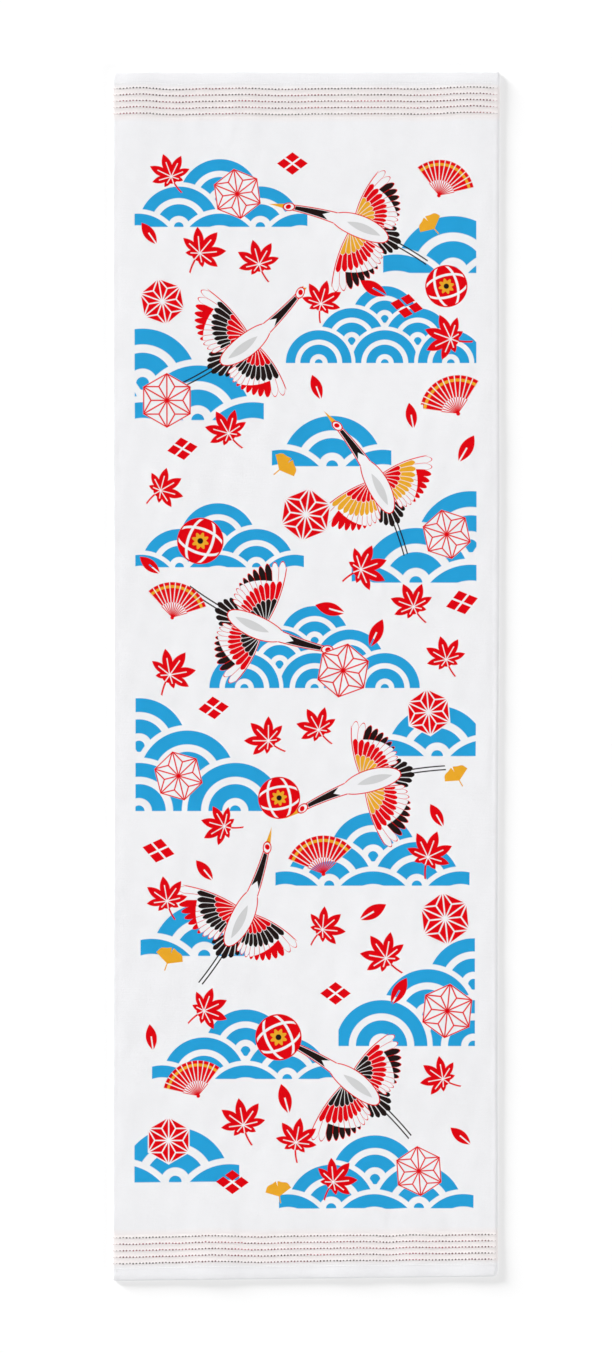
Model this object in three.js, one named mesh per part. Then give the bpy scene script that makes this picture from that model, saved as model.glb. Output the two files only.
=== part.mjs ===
// A long sports towel laid out flat: one length of cotton cloth, with a soft field, a woven selvedge
// down each side, and a flat-woven ribbed border and a turned hem at each end.
// Millimetres. X runs across the towel, Y along it, and Z up from the surface that it lies on.
import * as THREE from 'three';

// Driving dimensions of the hemmed cloth.
const LENGTH = 1100;
const WIDTH = 352;

// Thickness of each kind of cloth.
const FIELD_THICK = 2.3;
const BORDER_THICK = 1.4;
const RIB_THICK = 1.85;
const HEM_THICK = 3.0;
const HEM_FOLD_THICK = 1.6;
const HEM_SEAM_THICK = 2.7;

// Depths along an end of the towel, measured in from the end's edge.
const HEM_FOLD_DEPTH = 1.2;
const HEM_DEPTH = 13.4;
const HEM_SEAM_WIDTH = 2.0;
const HEM_STEP = 0.7;
const FIRST_RIB_DEPTH = 16.1;
const RIB_PITCH = 5.73;
const RIB_COUNT = 5;
const RIB_HALF_WIDTH = 0.9;
const BORDER_DEPTH = 41.6;
const FIELD_RISE = 1.8;

// The selvedge, measured in from a long edge. Its thickness is a share of the cloth's beside it.
const SELVEDGE_WIDTH = 5.2;
const SELVEDGE_SHARE = 0.74;
const EDGE_ROUNDING = 1.2;
const EDGE_SHARE = 0.5;
const FIELD_SLOPE = 1.4;

// The outline is a little uneven, as cloth is. The near end is cut on a slant.
const CORNER_RADIUS = 4;
const NEAR_END_SLANT = 2.0;
const RIGHT_EDGE_LEAN = 1.2;
const LEFT_EDGE_WAVE = { height: 0.5, length: 820, start: 1.9 };
const RIGHT_EDGE_WAVE = { height: 0.4, length: 640, start: 0.6 };

// How finely the cloth is divided.
const FIELD_ROWS = 30;
const FIELD_COLUMNS = 26;

// Puckers where a border has drawn in: their middle across the towel and half width, how far they
// shift the weave inwards along Y, and how far they lift the cloth off the surface.
const FAR_END_PUCKERS = [
  { across: -152, reach: 24, shift: -0.8, lift: 1.3 },
  { across: -116, reach: 30, shift: 0.8, lift: 0 },
  { across: -57, reach: 26, shift: -0.4, lift: 0.9 },
  { across: -18, reach: 38, shift: 0.6, lift: 0 },
  { across: 60, reach: 44, shift: -0.15, lift: 0.7 },
  { across: 99, reach: 18, shift: 0.35, lift: 0 },
  { across: 150, reach: 40, shift: -1.5, lift: 1.5 },
];
const NEAR_END_PUCKERS = [
  { across: -160, reach: 34, shift: -0.6, lift: 0 },
  { across: -86, reach: 36, shift: 0.9, lift: 1.4 },
  { across: -38, reach: 30, shift: -0.6, lift: 0 },
  { across: 40, reach: 34, shift: 0.35, lift: 0.9 },
  { across: 77, reach: 14, shift: -0.5, lift: 0 },
  { across: 98, reach: 22, shift: 0.45, lift: 0.6 },
  { across: 158, reach: 30, shift: 0.3, lift: 1.1 },
];
const PUCKER_DEPTH = 85;

// Shallow swells of the field, where the cloth stands a little off the surface.
const SWELLS = [
  { across: -120, along: 330, reach: 95, lift: 0.8 },
  { across: 110, along: 190, reach: 110, lift: 0.9 },
  { across: -105, along: -150, reach: 105, lift: 0.7 },
  { across: 95, along: -330, reach: 120, lift: 1.0 },
];

// 1 at the middle of a bump, falling smoothly to 0 at its reach and beyond.
function softBump(distance, reach) {
  const share = Math.min(Math.abs(distance) / reach, 1);
  return Math.cos((share * Math.PI) / 2) ** 2;
}

function sum(rows, valueOf) {
  return rows.reduce((total, row) => total + valueOf(row), 0);
}

// Depths and thicknesses from an end's edge up to the field. Those with under set also shape the underside.
function endStations() {
  const stations = [
    { depth: 0, thick: HEM_FOLD_THICK, under: true },
    { depth: HEM_FOLD_DEPTH, thick: HEM_SEAM_THICK, under: false },
    { depth: 2 * HEM_FOLD_DEPTH, thick: HEM_THICK, under: true },
    { depth: HEM_DEPTH - HEM_SEAM_WIDTH, thick: HEM_THICK, under: false },
    { depth: HEM_DEPTH - HEM_STEP, thick: HEM_SEAM_THICK, under: false },
    { depth: HEM_DEPTH, thick: BORDER_THICK, under: true },
  ];
  for (let rib = 0; rib < RIB_COUNT; rib += 1) {
    const crest = FIRST_RIB_DEPTH + rib * RIB_PITCH;
    stations.push({ depth: crest - RIB_HALF_WIDTH, thick: BORDER_THICK, under: false });
    stations.push({ depth: crest, thick: RIB_THICK, under: rib % 2 === 0 });
    stations.push({ depth: crest + RIB_HALF_WIDTH, thick: BORDER_THICK, under: false });
  }
  stations.push({ depth: BORDER_DEPTH, thick: BORDER_THICK, under: false });
  stations.push({ depth: BORDER_DEPTH + FIELD_RISE, thick: FIELD_THICK, under: true });
  return stations;
}

// Every row of the cloth, from the near end at -Y to the far end at +Y.
function towelRows() {
  const stations = endStations();
  const near = stations.map((station) => ({ ...station, y: station.depth - LENGTH / 2 }));
  const far = stations.map((station) => ({ ...station, y: LENGTH / 2 - station.depth })).reverse();
  const fieldStart = near[near.length - 1].y;
  const fieldLength = far[0].y - fieldStart;
  const field = [];
  for (let row = 1; row < FIELD_ROWS; row += 1) {
    const y = fieldStart + (row / FIELD_ROWS) * fieldLength;
    field.push({ y, depth: LENGTH / 2 - Math.abs(y), thick: FIELD_THICK, under: true });
  }
  return [...near, ...field, ...far];
}

// Every column of the cloth, from the left edge at -X to the right edge at +X.
function towelColumns() {
  const selvedge = [
    { inset: 0, share: EDGE_SHARE },
    { inset: EDGE_ROUNDING, share: SELVEDGE_SHARE },
    { inset: SELVEDGE_WIDTH, share: SELVEDGE_SHARE },
    { inset: SELVEDGE_WIDTH + FIELD_SLOPE, share: 1 },
  ];
  const left = selvedge.map((edge) => ({ ...edge, x: edge.inset - WIDTH / 2 }));
  const right = selvedge.map((edge) => ({ ...edge, x: WIDTH / 2 - edge.inset })).reverse();
  const fieldStart = left[left.length - 1].x;
  const fieldWidth = right[0].x - fieldStart;
  const field = [];
  for (let column = 1; column < FIELD_COLUMNS; column += 1) {
    field.push({ x: fieldStart + (column / FIELD_COLUMNS) * fieldWidth, share: 1 });
  }
  return [...left, ...field, ...right];
}

function wave(shape, along) {
  return shape.height * Math.sin((2 * Math.PI * along) / shape.length + shape.start);
}

// How far the long edges stray from straight, blended across the width.
function sideShift(x, y) {
  const toRight = x / WIDTH + 0.5;
  const right = RIGHT_EDGE_LEAN * (y / (LENGTH / 2)) + wave(RIGHT_EDGE_WAVE, y);
  return toRight * right + (1 - toRight) * wave(LEFT_EDGE_WAVE, y);
}

// How much of its puckers' shift the weave takes at this depth: none at the edge, all of it in the border.
function shiftShare(depth) {
  if (depth < FIRST_RIB_DEPTH) {
    return depth / FIRST_RIB_DEPTH;
  }
  return depth < BORDER_DEPTH ? 1 : softBump(depth - BORDER_DEPTH, PUCKER_DEPTH);
}

// Rounds a corner: how far the side draws in near an end's edge.
function cornerInset(depth) {
  if (depth >= CORNER_RADIUS) {
    return 0;
  }
  return CORNER_RADIUS - Math.sqrt(CORNER_RADIUS ** 2 - (CORNER_RADIUS - depth) ** 2);
}

// Where the underside of the cloth lies at a column and row.
function underPoint(column, row) {
  const end = Math.sign(row.y);
  const puckers = end > 0 ? FAR_END_PUCKERS : NEAR_END_PUCKERS;
  const slant = end < 0 ? NEAR_END_SLANT * (column.x / (WIDTH / 2)) : 0;
  const shift = sum(puckers, (pucker) => pucker.shift * softBump(column.x - pucker.across, pucker.reach));
  const pucker = sum(puckers, (p) => p.lift * softBump(column.x - p.across, p.reach));
  const swell = sum(SWELLS, (s) => s.lift * softBump(Math.hypot(column.x - s.across, row.y - s.along), s.reach));
  const narrowing = 1 - cornerInset(row.depth) / (WIDTH / 2);
  return new THREE.Vector3(
    column.x * narrowing + sideShift(column.x, row.y),
    row.y + slant * softBump(row.depth, PUCKER_DEPTH) - end * shift * shiftShare(row.depth),
    pucker * softBump(row.depth, PUCKER_DEPTH) + swell,
  );
}

function upperPoint(column, row) {
  const point = underPoint(column, row);
  point.z += row.thick * column.share;
  return point;
}

// Adds one side of the cloth as a grid of triangles and returns its vertex numbers by row and column.
function addGrid(mesh, columns, rows, pointAt, facesUp) {
  const numbers = rows.map((row) => columns.map((column) => {
    mesh.points.push(pointAt(column, row));
    return mesh.points.length - 1;
  }));
  for (let j = 0; j + 1 < rows.length; j += 1) {
    for (let i = 0; i + 1 < columns.length; i += 1) {
      const [a, b, c, d] = [numbers[j][i], numbers[j][i + 1], numbers[j + 1][i + 1], numbers[j + 1][i]];
      const pair = [[a, b, c], [a, c, d]];
      mesh.triangles.push(...pair.map((triangle) => (facesUp ? triangle : triangle.reverse())));
    }
  }
  return numbers;
}

// Closes the rim between a lower and an upper edge, which share their first and last stations.
function closeRim(mesh, lower, upper, reversed) {
  let [low, high] = [0, 0];
  while (low + 1 < lower.length || high + 1 < upper.length) {
    const nextLow = low + 1 < lower.length ? lower[low + 1].station : Infinity;
    const nextHigh = high + 1 < upper.length ? upper[high + 1].station : Infinity;
    const stepLow = nextLow < nextHigh;
    const tip = stepLow ? lower[low + 1].number : upper[high + 1].number;
    const triangle = [lower[low].number, tip, upper[high].number];
    mesh.triangles.push(reversed ? triangle.reverse() : triangle);
    low += stepLow ? 1 : 0;
    high += stepLow ? 0 : 1;
  }
}

// The numbered vertices of one column, with their place along the towel.
function columnEdge(numbers, rows, index) {
  return numbers.map((row, j) => ({ number: row.at(index), station: rows[j].y }));
}

// The numbered vertices of one row, with their place across the towel.
function rowEdge(numbers, columns, index) {
  return numbers.at(index).map((number, i) => ({ number, station: columns[i].x }));
}

function towelGeometry() {
  const mesh = { points: [], triangles: [] };
  const columns = towelColumns();
  const rows = towelRows();
  const underRows = rows.filter((row) => row.under);
  const upper = addGrid(mesh, columns, rows, upperPoint, true);
  const under = addGrid(mesh, columns, underRows, underPoint, false);
  closeRim(mesh, columnEdge(under, underRows, -1), columnEdge(upper, rows, -1), false);
  closeRim(mesh, columnEdge(under, underRows, 0), columnEdge(upper, rows, 0), true);
  closeRim(mesh, rowEdge(under, columns, 0), rowEdge(upper, columns, 0), false);
  closeRim(mesh, rowEdge(under, columns, -1), rowEdge(upper, columns, -1), true);
  const geometry = new THREE.BufferGeometry().setFromPoints(mesh.points);
  geometry.setIndex(mesh.triangles.flat());
  geometry.computeBoundingBox();
  const middle = geometry.boundingBox.getCenter(new THREE.Vector3());
  geometry.translate(-middle.x, -middle.y, 0);
  geometry.computeVertexNormals();
  return geometry;
}

// White cotton, soft and dull.
const cotton = new THREE.MeshStandardMaterial({ color: 0xf0f0f2, roughness: 0.95, metalness: 0 });

const towel = new THREE.Mesh(towelGeometry(), cotton);
towel.name = 'towel_cloth';

const model = new THREE.Group();
model.add(towel);

export default model;
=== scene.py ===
"""A long printed cotton sports towel, laid out flat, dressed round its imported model."""
import math
from collections import namedtuple

import bmesh
import bpy
import numpy as np
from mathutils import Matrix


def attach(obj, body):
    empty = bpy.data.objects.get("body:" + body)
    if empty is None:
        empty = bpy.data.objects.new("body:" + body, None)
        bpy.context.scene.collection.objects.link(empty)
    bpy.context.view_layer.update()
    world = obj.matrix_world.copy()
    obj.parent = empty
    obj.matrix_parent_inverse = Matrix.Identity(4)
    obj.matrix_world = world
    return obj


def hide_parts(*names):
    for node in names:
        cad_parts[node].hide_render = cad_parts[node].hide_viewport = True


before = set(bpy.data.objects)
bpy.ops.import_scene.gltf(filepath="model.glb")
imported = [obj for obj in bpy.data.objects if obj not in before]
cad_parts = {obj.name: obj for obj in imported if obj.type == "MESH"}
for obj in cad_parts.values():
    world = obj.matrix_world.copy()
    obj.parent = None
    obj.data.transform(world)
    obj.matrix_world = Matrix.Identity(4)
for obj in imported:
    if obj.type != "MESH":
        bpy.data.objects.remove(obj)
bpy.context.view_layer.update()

bl_info = {
    "name": "Sports Towel",
    "version": (1, 0, 0),
    "blender": (4, 5, 0),
    "location": "3D View > Sidebar > Towel",
    "description": "A long printed cotton sports towel, laid out flat",
    "category": "Add Mesh",
}

BODY = "root"

# The tables and the cloth's shape are in millimetres, and meshes are in metres.
MM = 0.001

# Thickness of the cloth at each depth in from an end: the turned hem with its sewn groove, the flat
# border, and the rise to the field. The border's ribs are added to it.
Station = namedtuple("Station", "depth thickness")
END_PROFILE = [
    Station(*row)
    for row in (
        (0.0, 1.45), (0.35, 1.93), (0.9, 2.22), (1.8, 2.33), (5.0, 2.44), (9.8, 2.52), (10.8, 2.5),
        (11.5, 2.42), (12.1, 2.49), (12.8, 2.49), (14.6, 2.48), (16.1, 2.46), (21.8, 2.38),
        (41.6, 2.12), (43.4, 2.13), (47.5, 2.18), (52.0, 2.24), (58.0, 2.28), (66.0, 2.3),
    )
]
SEAM_DEPTH = 11.5
FIELD_DEPTH = 43.4

# The coloured ribs of each border, and where the mesh's rows cross each, as shares of its reach.
FIRST_RIB_DEPTH = 16.1
RIB_PITCH = 5.73
RIB_COUNT = 5
RIB_HEIGHT = 0.17
RIB_REACH = 1.5
RIB_STEPS = (-1.0, -0.6, -0.28, 0.0, 0.28, 0.6, 1.0)

# Share of the cloth's thickness at each distance in from a long edge, on its upper side, and how much
# of it the underside curls up there.
EdgeStation = namedtuple("EdgeStation", "inset upper curl")
EDGE_PROFILE = [
    EdgeStation(*row)
    for row in (
        (0.0, 0.45, 0.22), (0.35, 0.68, 0.08), (0.8, 0.83, 0.02), (1.5, 0.93, 0.0),
        (2.6, 0.965, 0.0), (3.9, 0.97, 0.0), (5.0, 0.962, 0.0), (5.8, 0.955, 0.0),
        (6.6, 0.965, 0.0), (7.8, 0.98, 0.0), (9.4, 0.992, 0.0), (11.4, 1.0, 0.0),
    )
]

# The outline is a little uneven, as cloth is: each long edge is a long wave, the right one leans,
# and the near end is cut on a slant.
CORNER_RADIUS = 4
NEAR_END_SLANT = 2.0
RIGHT_EDGE_LEAN = 1.2
Wave = namedtuple("Wave", "height length start")
LEFT_EDGE_WAVE = Wave(0.5, 820, 1.9)
RIGHT_EDGE_WAVE = Wave(0.4, 640, 0.6)

# Puckers where a border has drawn in: their middle across the towel and half width, how far they
# shift the weave inwards, and how far they lift the cloth off the surface.
Pucker = namedtuple("Pucker", "across reach shift lift")
FAR_END_PUCKERS = [
    Pucker(-152, 24, -0.8, 0.5),
    Pucker(-116, 30, 0.8, 0),
    Pucker(-57, 26, -0.4, 0.4),
    Pucker(-18, 38, 0.6, 0),
    Pucker(60, 44, -0.15, 0.4),
    Pucker(99, 18, 0.35, 0),
    Pucker(150, 40, -1.5, 0.7),
]
NEAR_END_PUCKERS = [
    Pucker(-160, 34, -0.6, 0),
    Pucker(-86, 36, 0.9, 0.7),
    Pucker(-38, 30, -0.6, 0),
    Pucker(40, 34, 0.35, 0.5),
    Pucker(77, 14, -0.5, 0),
    Pucker(98, 22, 0.45, 0.3),
    Pucker(158, 30, 0.3, 0.5),
]
# How far in from an end they fade out.
PUCKER_DEPTH = 85

# Shallow swells of the field, where the cloth stands a little off the surface.
Swell = namedtuple("Swell", "across along reach lift")
SWELLS = [
    Swell(-120, 330, 95, 0.5),
    Swell(110, 190, 110, 0.6),
    Swell(-105, -150, 105, 0.5),
    Swell(95, -330, 120, 0.7),
]

# Fine unevenness of the cloth's thickness, all over the field, and as gathers on both sides of the
# field's line with a border: how many waves it has to a metre across and along.
Ripple = namedtuple("Ripple", "height across along start")
FIELD_RIPPLES = [Ripple(0.05, 27, 16, 0.4), Ripple(0.045, 43, -12, 2.1), Ripple(0.04, 15, 38, 4.0)]
GATHERS = [Ripple(0.06, 58, 0, 0.7), Ripple(0.035, 93, 0, 2.9), Ripple(0.05, 37, 0, 5.1)]
GATHER_REACH = 34

# The mesh of the field, and how far the rim's faces reach past the cloth on its flat map.
FIELD_ROW_PITCH = 4.1
FIELD_COLUMN_PITCH = 3.6
RIM_OVERHANG = 1.5

# The print's own edges, and how softly ink ends.
PRINT_HALF_WIDTH = 155.2
INK_SOFTNESS = 0.35

# Where a face holds no motif, its place on that motif's map is out of every motif's reach.
NOWHERE = 90.0

# The printed motifs: which one, its place on the cloth, its size, and how far it is turned to the left.
Motif = namedtuple("Motif", "kind across along size turn")

# Banks of scalloped waves, by the number of rows of scallops. Their size is a scallop's radius.
WAVES = [
    Motif(*row)
    for row in (
        (2, -78, 408, 37, 0), (1, 134, 366, 52, 0), (3, 72, 284, 30, 0), (2, -148, 232, 50, 0),
        (1, 24, 190, 46, 0), (2, 150, 84, 50, 0), (2, -80, 98, 35, 0), (3, 8, -12, 32, 0),
        (1, 120, -74, 46, 0), (3, -152, -124, 44, 0), (2, 62, -192, 40, 0), (1, -92, -256, 48, 0),
        (3, 154, -338, 42, 0), (2, -54, -368, 38, 0), (1, -118, -462, 50, 0), (2, 64, -486, 40, 0),
    )
]

# Flying cranes, by their wings' inks. Their size is a scale.
CRANES = [
    Motif(*row)
    for row in (
        (1, 50, 408, 1.1, 158), (2, -54, 300, 1.12, 38), (3, 66, 172, 1.08, 118),
        (4, -46, 44, 1.12, -24), (1, 60, -96, 1.1, 196), (2, -58, -222, 1.12, 64),
        (4, 46, -372, 1.12, 142),
    )
]

# Small motifs: place across and along, radius, and turn to the left.
SPRIGS = {
    "maple": [
        (-122, 454, 22, 20), (-96, 384, 25, -40), (-42, 374, 23, 15), (14, 338, 22, -15),
        (132, 306, 25, 70), (-70, 220, 23, 30), (-132, 168, 22, -60), (50, 96, 25, -70),
        (98, 62, 23, 25), (128, 14, 22, 15), (-124, 0, 25, -35), (-34, -60, 23, 45),
        (-74, -138, 22, 75), (112, -166, 25, -20), (-126, -206, 23, 10), (16, -232, 22, -50),
        (74, -258, 25, 35), (-92, -306, 23, -65), (126, -368, 22, 55), (-56, -410, 25, 10),
        (26, -462, 23, -40), (12, -50, 22, 30), (-8, -426, 23, -10),
    ],
    "ginkgo": [
        (114, 410, 11, 40), (-20, 190, 12, -50), (138, -92, 11, 30), (-124, -258, 12, -20),
        (-24, -470, 11, 10),
    ],
    "hemp star": [
        (-62, 438, 23, 8), (-126, 250, 25, 0), (128, 128, 23, 12), (34, 4, 25, -10),
        (-116, -92, 23, 14), (130, -306, 25, -6), (104, -452, 23, 4),
    ],
    "red star": [
        (-130, 340, 22, 10), (0, 146, 25, -8), (112, -34, 22, 5), (128, -222, 25, 6),
        (-124, -424, 22, 0),
    ],
    "lozenge": [
        (-12, 466, 14, 0), (92, 336, 15, -10), (-112, 206, 14, 8), (142, 66, 15, 15),
        (-84, -30, 14, 5), (-134, -160, 15, -12), (28, -290, 14, 0), (-66, -462, 15, 0),
    ],
    "ball": [
        (128, 354, 20, 15), (-96, 122, 22, -20), (-24, -112, 20, 10), (-24, -330, 22, 25),
    ],
    "leaf": [
        (-142, 402, 12, 35), (62, 352, 14, 60), (10, 262, 12, 20), (146, 206, 14, -30),
        (-142, 100, 12, 50), (64, 38, 14, -25), (120, -128, 12, 30), (62, -216, 14, -60),
        (-140, -330, 12, 8), (-18, -386, 14, 15), (142, -420, 12, 50), (96, 236, 12, 10),
        (22, 60, 14, 75), (-92, -178, 12, 40), (86, -288, 14, -30),
    ],
    "fan": [
        (126, 450, 24, -20), (132, 252, 26, 25), (-118, 66, 24, -15), (14, -166, 26, 10),
        (-102, -370, 24, 20),
    ],
}
SPRIG_KINDS = {name: number for number, name in enumerate(SPRIGS, 1)}

# Inks of the parts of a crane's wing: where there is no crane, and for each kind.
WING_INKS = {
    "tips": ("white", "black", "red", "red", "black"),
    "covert": ("white", "red", "black", "gold", "red"),
    "shoulder": ("white", "gold", "red", "red", "black"),
}

# How far up each row of scallops stands on the one in front, and the ends of each motif's own box.
SCALLOP_STEP = 0.67
Reach = namedtuple("Reach", "left right bottom top")
CRANE_REACH = Reach(-66, 80, -62, 62)
SPRIG_REACH = Reach(-1.22, 1.22, -1.22, 1.22)


def soft_bump(distance, reach):
    """1 at the middle of a bump, falling smoothly to 0 at its reach and beyond."""
    return np.cos(np.minimum(np.abs(distance) / reach, 1) * np.pi / 2) ** 2


def ripple_height(ripples, across, along):
    """The sum of some ripples at places in millimetres."""
    return sum(
        r.height * np.sin(2 * np.pi * (r.across * across + r.along * along) * MM + r.start)
        for r in ripples
    )


class Cloth:
    """The towel's shape, worked out from its flat places in millimetres."""

    def __init__(self, settings):
        self.length = settings.length / MM
        self.width = settings.width / MM
        self.middle = np.zeros(3)
        x, y = np.meshgrid(self.columns(), self.rows())
        points = self.under(x, y)
        low, high = points.min((0, 1)), points.max((0, 1))
        self.middle = np.array([*(low + high)[:2] / 2, 0])

    def columns(self):
        """Where the mesh's columns lie across the cloth."""
        insets = np.array([edge.inset for edge in EDGE_PROFILE])
        left = insets - self.width / 2
        steps = round(-2 * left[-1] / FIELD_COLUMN_PITCH)
        field = np.linspace(left[-1], -left[-1], steps + 1)[1:-1]
        return np.concatenate([left, field, -left[::-1]])

    def rows(self):
        """Where the mesh's rows lie along the cloth."""
        ribs = [
            FIRST_RIB_DEPTH + rib * RIB_PITCH + step * RIB_REACH
            for rib in range(RIB_COUNT)
            for step in RIB_STEPS
        ]
        depths = np.unique(np.round([station.depth for station in END_PROFILE] + ribs, 2))
        near = depths - self.length / 2
        steps = round(-2 * near[-1] / FIELD_ROW_PITCH)
        field = np.linspace(near[-1], -near[-1], steps + 1)[1:-1]
        return np.concatenate([near, field, -near[::-1]])

    def depth(self, y):
        return self.length / 2 - np.abs(y)

    def inset(self, x):
        return self.width / 2 - np.abs(x)

    def thickness(self, x, y):
        """How thick the cloth is, up to its upper side."""
        depth = self.depth(y)
        thick = np.interp(depth, *zip(*END_PROFILE))
        for rib in range(RIB_COUNT):
            thick = thick + RIB_HEIGHT * soft_bump(depth - FIRST_RIB_DEPTH - rib * RIB_PITCH, RIB_REACH)
        in_field = np.clip((depth - FIELD_DEPTH) / GATHER_REACH, 0, 1)
        thick = thick + ripple_height(FIELD_RIPPLES, x, y) * in_field
        thick = thick + ripple_height(GATHERS, x, y) * soft_bump(depth - FIELD_DEPTH, GATHER_REACH)
        insets, shares, _ = zip(*EDGE_PROFILE)
        return thick * np.interp(self.inset(x), insets, shares)

    def side_shift(self, x, y):
        """How far the long edges stray from straight, blended across the width."""
        left, right = (
            wave.height * np.sin(2 * np.pi * y / wave.length + wave.start)
            for wave in (LEFT_EDGE_WAVE, RIGHT_EDGE_WAVE)
        )
        to_right = x / self.width + 0.5
        return to_right * (right + RIGHT_EDGE_LEAN * y / (self.length / 2)) + (1 - to_right) * left

    def lying(self, x, y):
        """Where a place on the flat cloth comes to lie, at the underside."""
        depth = self.depth(y)
        narrow = np.clip(CORNER_RADIUS - depth, 0, CORNER_RADIUS)
        inset = CORNER_RADIUS - np.sqrt(CORNER_RADIUS**2 - narrow**2)
        share = np.where(
            depth < FIRST_RIB_DEPTH,
            depth / FIRST_RIB_DEPTH,
            soft_bump(np.maximum(depth - FIELD_DEPTH, 0), PUCKER_DEPTH),
        )
        near_edge = soft_bump(depth, PUCKER_DEPTH)
        shift, lift = 0, 0
        for end, puckers in ((1, FAR_END_PUCKERS), (-1, NEAR_END_PUCKERS)):
            at_end = np.sign(y) == end
            for p in puckers:
                bump = soft_bump(x - p.across, p.reach) * at_end
                shift = shift - end * p.shift * bump
                lift = lift + p.lift * bump
        slant = NEAR_END_SLANT * x / (self.width / 2) * (y < 0)
        swell = sum(s.lift * soft_bump(np.hypot(x - s.across, y - s.along), s.reach) for s in SWELLS)
        return (
            x * (1 - inset / (self.width / 2)) + self.side_shift(x, y),
            y + slant * near_edge + shift * share,
            lift * near_edge + swell,
        )

    def under(self, x, y):
        """Points of the underside."""
        px, py, pz = self.lying(x, y)
        insets, _, curls = zip(*EDGE_PROFILE)
        curl = np.interp(np.minimum(self.inset(x), self.depth(y)), insets, curls)
        return np.stack([px, py, pz + curl * self.thickness(x, y)], -1) - self.middle

    def upper(self, x, y):
        """Points of the upper side."""
        px, py, pz = self.lying(x, y)
        return np.stack([px, py, pz + self.thickness(x, y)], -1) - self.middle


def linear(red, green, blue):
    """A colour as shaders use it, from the numbers it shows as on a screen, out of 255."""
    parts = (v / 255 for v in (red, green, blue))
    return tuple(v / 12.92 if v <= 0.04045 else ((v + 0.055) / 1.055) ** 2.4 for v in parts)


# The cloth's mesh.

def grid_faces(numbers, faces_up):
    """Four-sided faces between neighbours of a grid of vertex numbers."""
    corners = [numbers[:-1, :-1], numbers[:-1, 1:], numbers[1:, 1:], numbers[1:, :-1]]
    faces = np.stack(corners, -1).reshape(-1, 4)
    return faces if faces_up else faces[:, ::-1]


def ring_of(grid):
    """The outermost entries of a grid, once round, anticlockwise as seen from above."""
    return np.concatenate([grid[0, :-1], grid[:-1, -1], grid[-1, :0:-1], grid[:0:-1, 0]])


def cloth_faces(cloth):
    """The cloth's points, its faces, and for each face its corners' flat places and side."""
    x, y = np.meshgrid(cloth.columns(), cloth.rows())
    upper = np.arange(x.size).reshape(x.shape)
    under = upper + x.size
    points = np.concatenate([cloth.upper(x, y).reshape(-1, 3), cloth.under(x, y).reshape(-1, 3)])
    flat = np.stack([x, y], -1).reshape(-1, 2)
    flat = np.concatenate([flat, flat])
    top, bottom = grid_faces(upper, True), grid_faces(under, False)
    high, low = ring_of(upper), ring_of(under)
    rim = np.stack([low, np.roll(low, -1), np.roll(high, -1), high], -1)
    half = np.array([cloth.width, cloth.length]) / 2
    beyond = flat[rim]
    outward = np.where(np.abs(np.abs(beyond) - half) < 1e-6, np.sign(beyond), 0)
    beyond[:, :2] += outward[:, :2] * RIM_OVERHANG
    faces = np.concatenate([top, bottom, rim])
    places = np.concatenate([flat[top], flat[bottom], beyond])
    is_under = np.repeat([False, True, False], [len(top), len(bottom), len(rim)])
    return points, faces, places, is_under


def add_map(mesh, name, places):
    layer = mesh.uv_layers.new(name=name, do_init=False)
    layer.uv.foreach_set("vector", places.astype(np.float32).ravel())


def add_numbers(mesh, name, numbers):
    layer = mesh.attributes.new(name, "FLOAT", "FACE")
    layer.data.foreach_set("value", numbers.astype(np.float32))


def add_print(mesh, name, motifs, reach_of, places):
    """Gives the faces round each motif its number, and their places on the motif's own drawing. A
    face within reach of two motifs goes to the nearer one, for its size."""
    middles = places.mean(1)
    drawing = np.full(places.shape, NOWHERE)
    kinds = np.zeros(len(places))
    nearest = np.full(len(places), np.inf)
    for motif in motifs:
        turn = math.radians(motif.turn)
        axes = np.array([[math.cos(turn), -math.sin(turn)], [math.sin(turn), math.cos(turn)]])
        at = np.array([motif.across, motif.along])
        own = (middles - at) @ axes / motif.size
        away = np.hypot(*own.T)
        reach = reach_of(motif)
        held = (own[:, 0] > reach.left) & (own[:, 0] < reach.right)
        held &= (own[:, 1] > reach.bottom) & (own[:, 1] < reach.top) & (away < nearest)
        nearest[held], kinds[held] = away[held], motif.kind
        drawing[held] = (places[held] - at) @ axes / motif.size
    add_map(mesh, name, drawing)
    add_numbers(mesh, name + "_kind", kinds)


def wave_reach(motif):
    width = motif.kind + 0.2
    return Reach(-width, width, -0.2, (motif.kind - 1) * SCALLOP_STEP + 1.2)


def finish_map(places, is_under, cloth):
    """Where each face lies on the map for a finished picture of the cloth: the upper side in three
    lengths, and the underside, each in a quarter of the picture."""
    margin, quarter = 0.004, 0.5
    half = np.array([cloth.width, cloth.length]) / 2 + RIM_OVERHANG
    part_length = 2 * half[1] / 3
    part = np.clip(np.floor((places[:, :, 1].mean(1) + half[1]) / part_length), 0, 2)
    low = np.stack([np.full(len(part), -half[0]), part * part_length - half[1]], -1)
    span = np.tile([2 * half[0], part_length], (len(part), 1))
    # A face that crosses from one length to the next belongs to the one with its middle.
    slack = FIELD_ROW_PITCH
    low[:, 1] -= slack
    span[:, 1] += 2 * slack
    low[is_under], span[is_under] = -half, 2 * half
    corner = np.stack([part % 2, part // 2], -1) * quarter
    corner[is_under] = quarter
    share = (places - low[:, None]) / span[:, None]
    share[is_under, :, 0] = 1 - share[is_under, :, 0]
    return corner[:, None] + margin + share * (quarter - 2 * margin)


# Shader patterns.

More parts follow.
